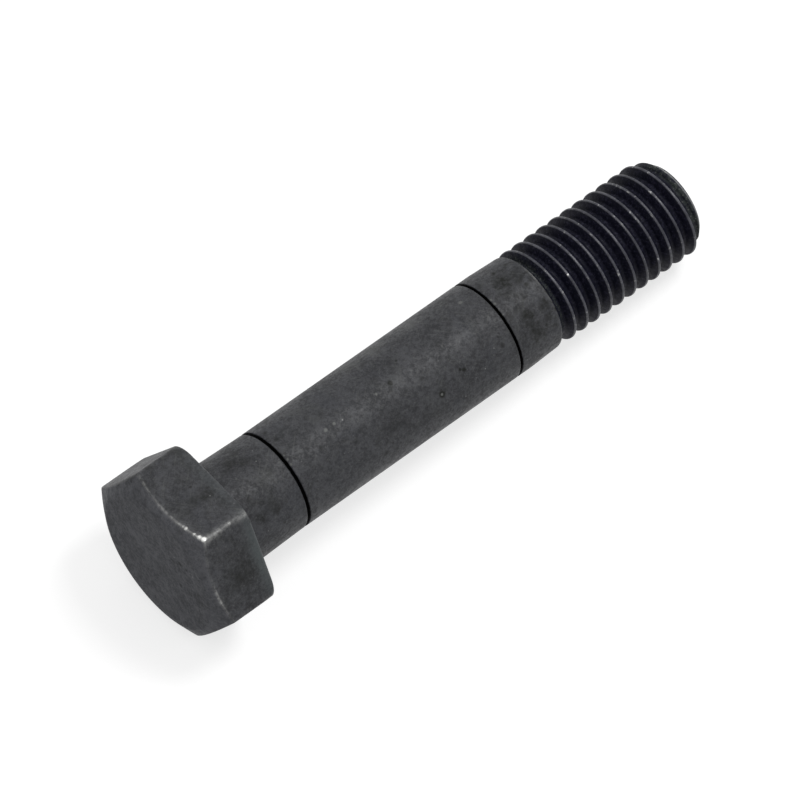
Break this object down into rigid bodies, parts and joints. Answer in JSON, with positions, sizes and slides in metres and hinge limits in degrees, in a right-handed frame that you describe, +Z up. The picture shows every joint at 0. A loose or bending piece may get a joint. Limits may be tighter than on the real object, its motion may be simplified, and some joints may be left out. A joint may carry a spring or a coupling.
{
  "type": "bolt",
  "caption": "Hexagon-head steel bolt with a long plain shank, two thin scored rings and a short threaded end, lying at rest on its head and tip.",
  "frame": {"origin": "middle of the bearing face under the head, on the bolt's axis", "axes": "+X along the shank from the head to the tip, dipping by 3.2 degrees as the bolt lies on its head and tip; +Z up; +Y across two corners of the head"},
  "size_m": [0.0745, 0.022, 0.0195],
  "materials": {
    "black_oxide_steel": "matt black oxide, bright at the worn edges"
  },
  "bodies": {
    "root": {"bolt": "black_oxide_steel"}
  },
  "joints": []
}
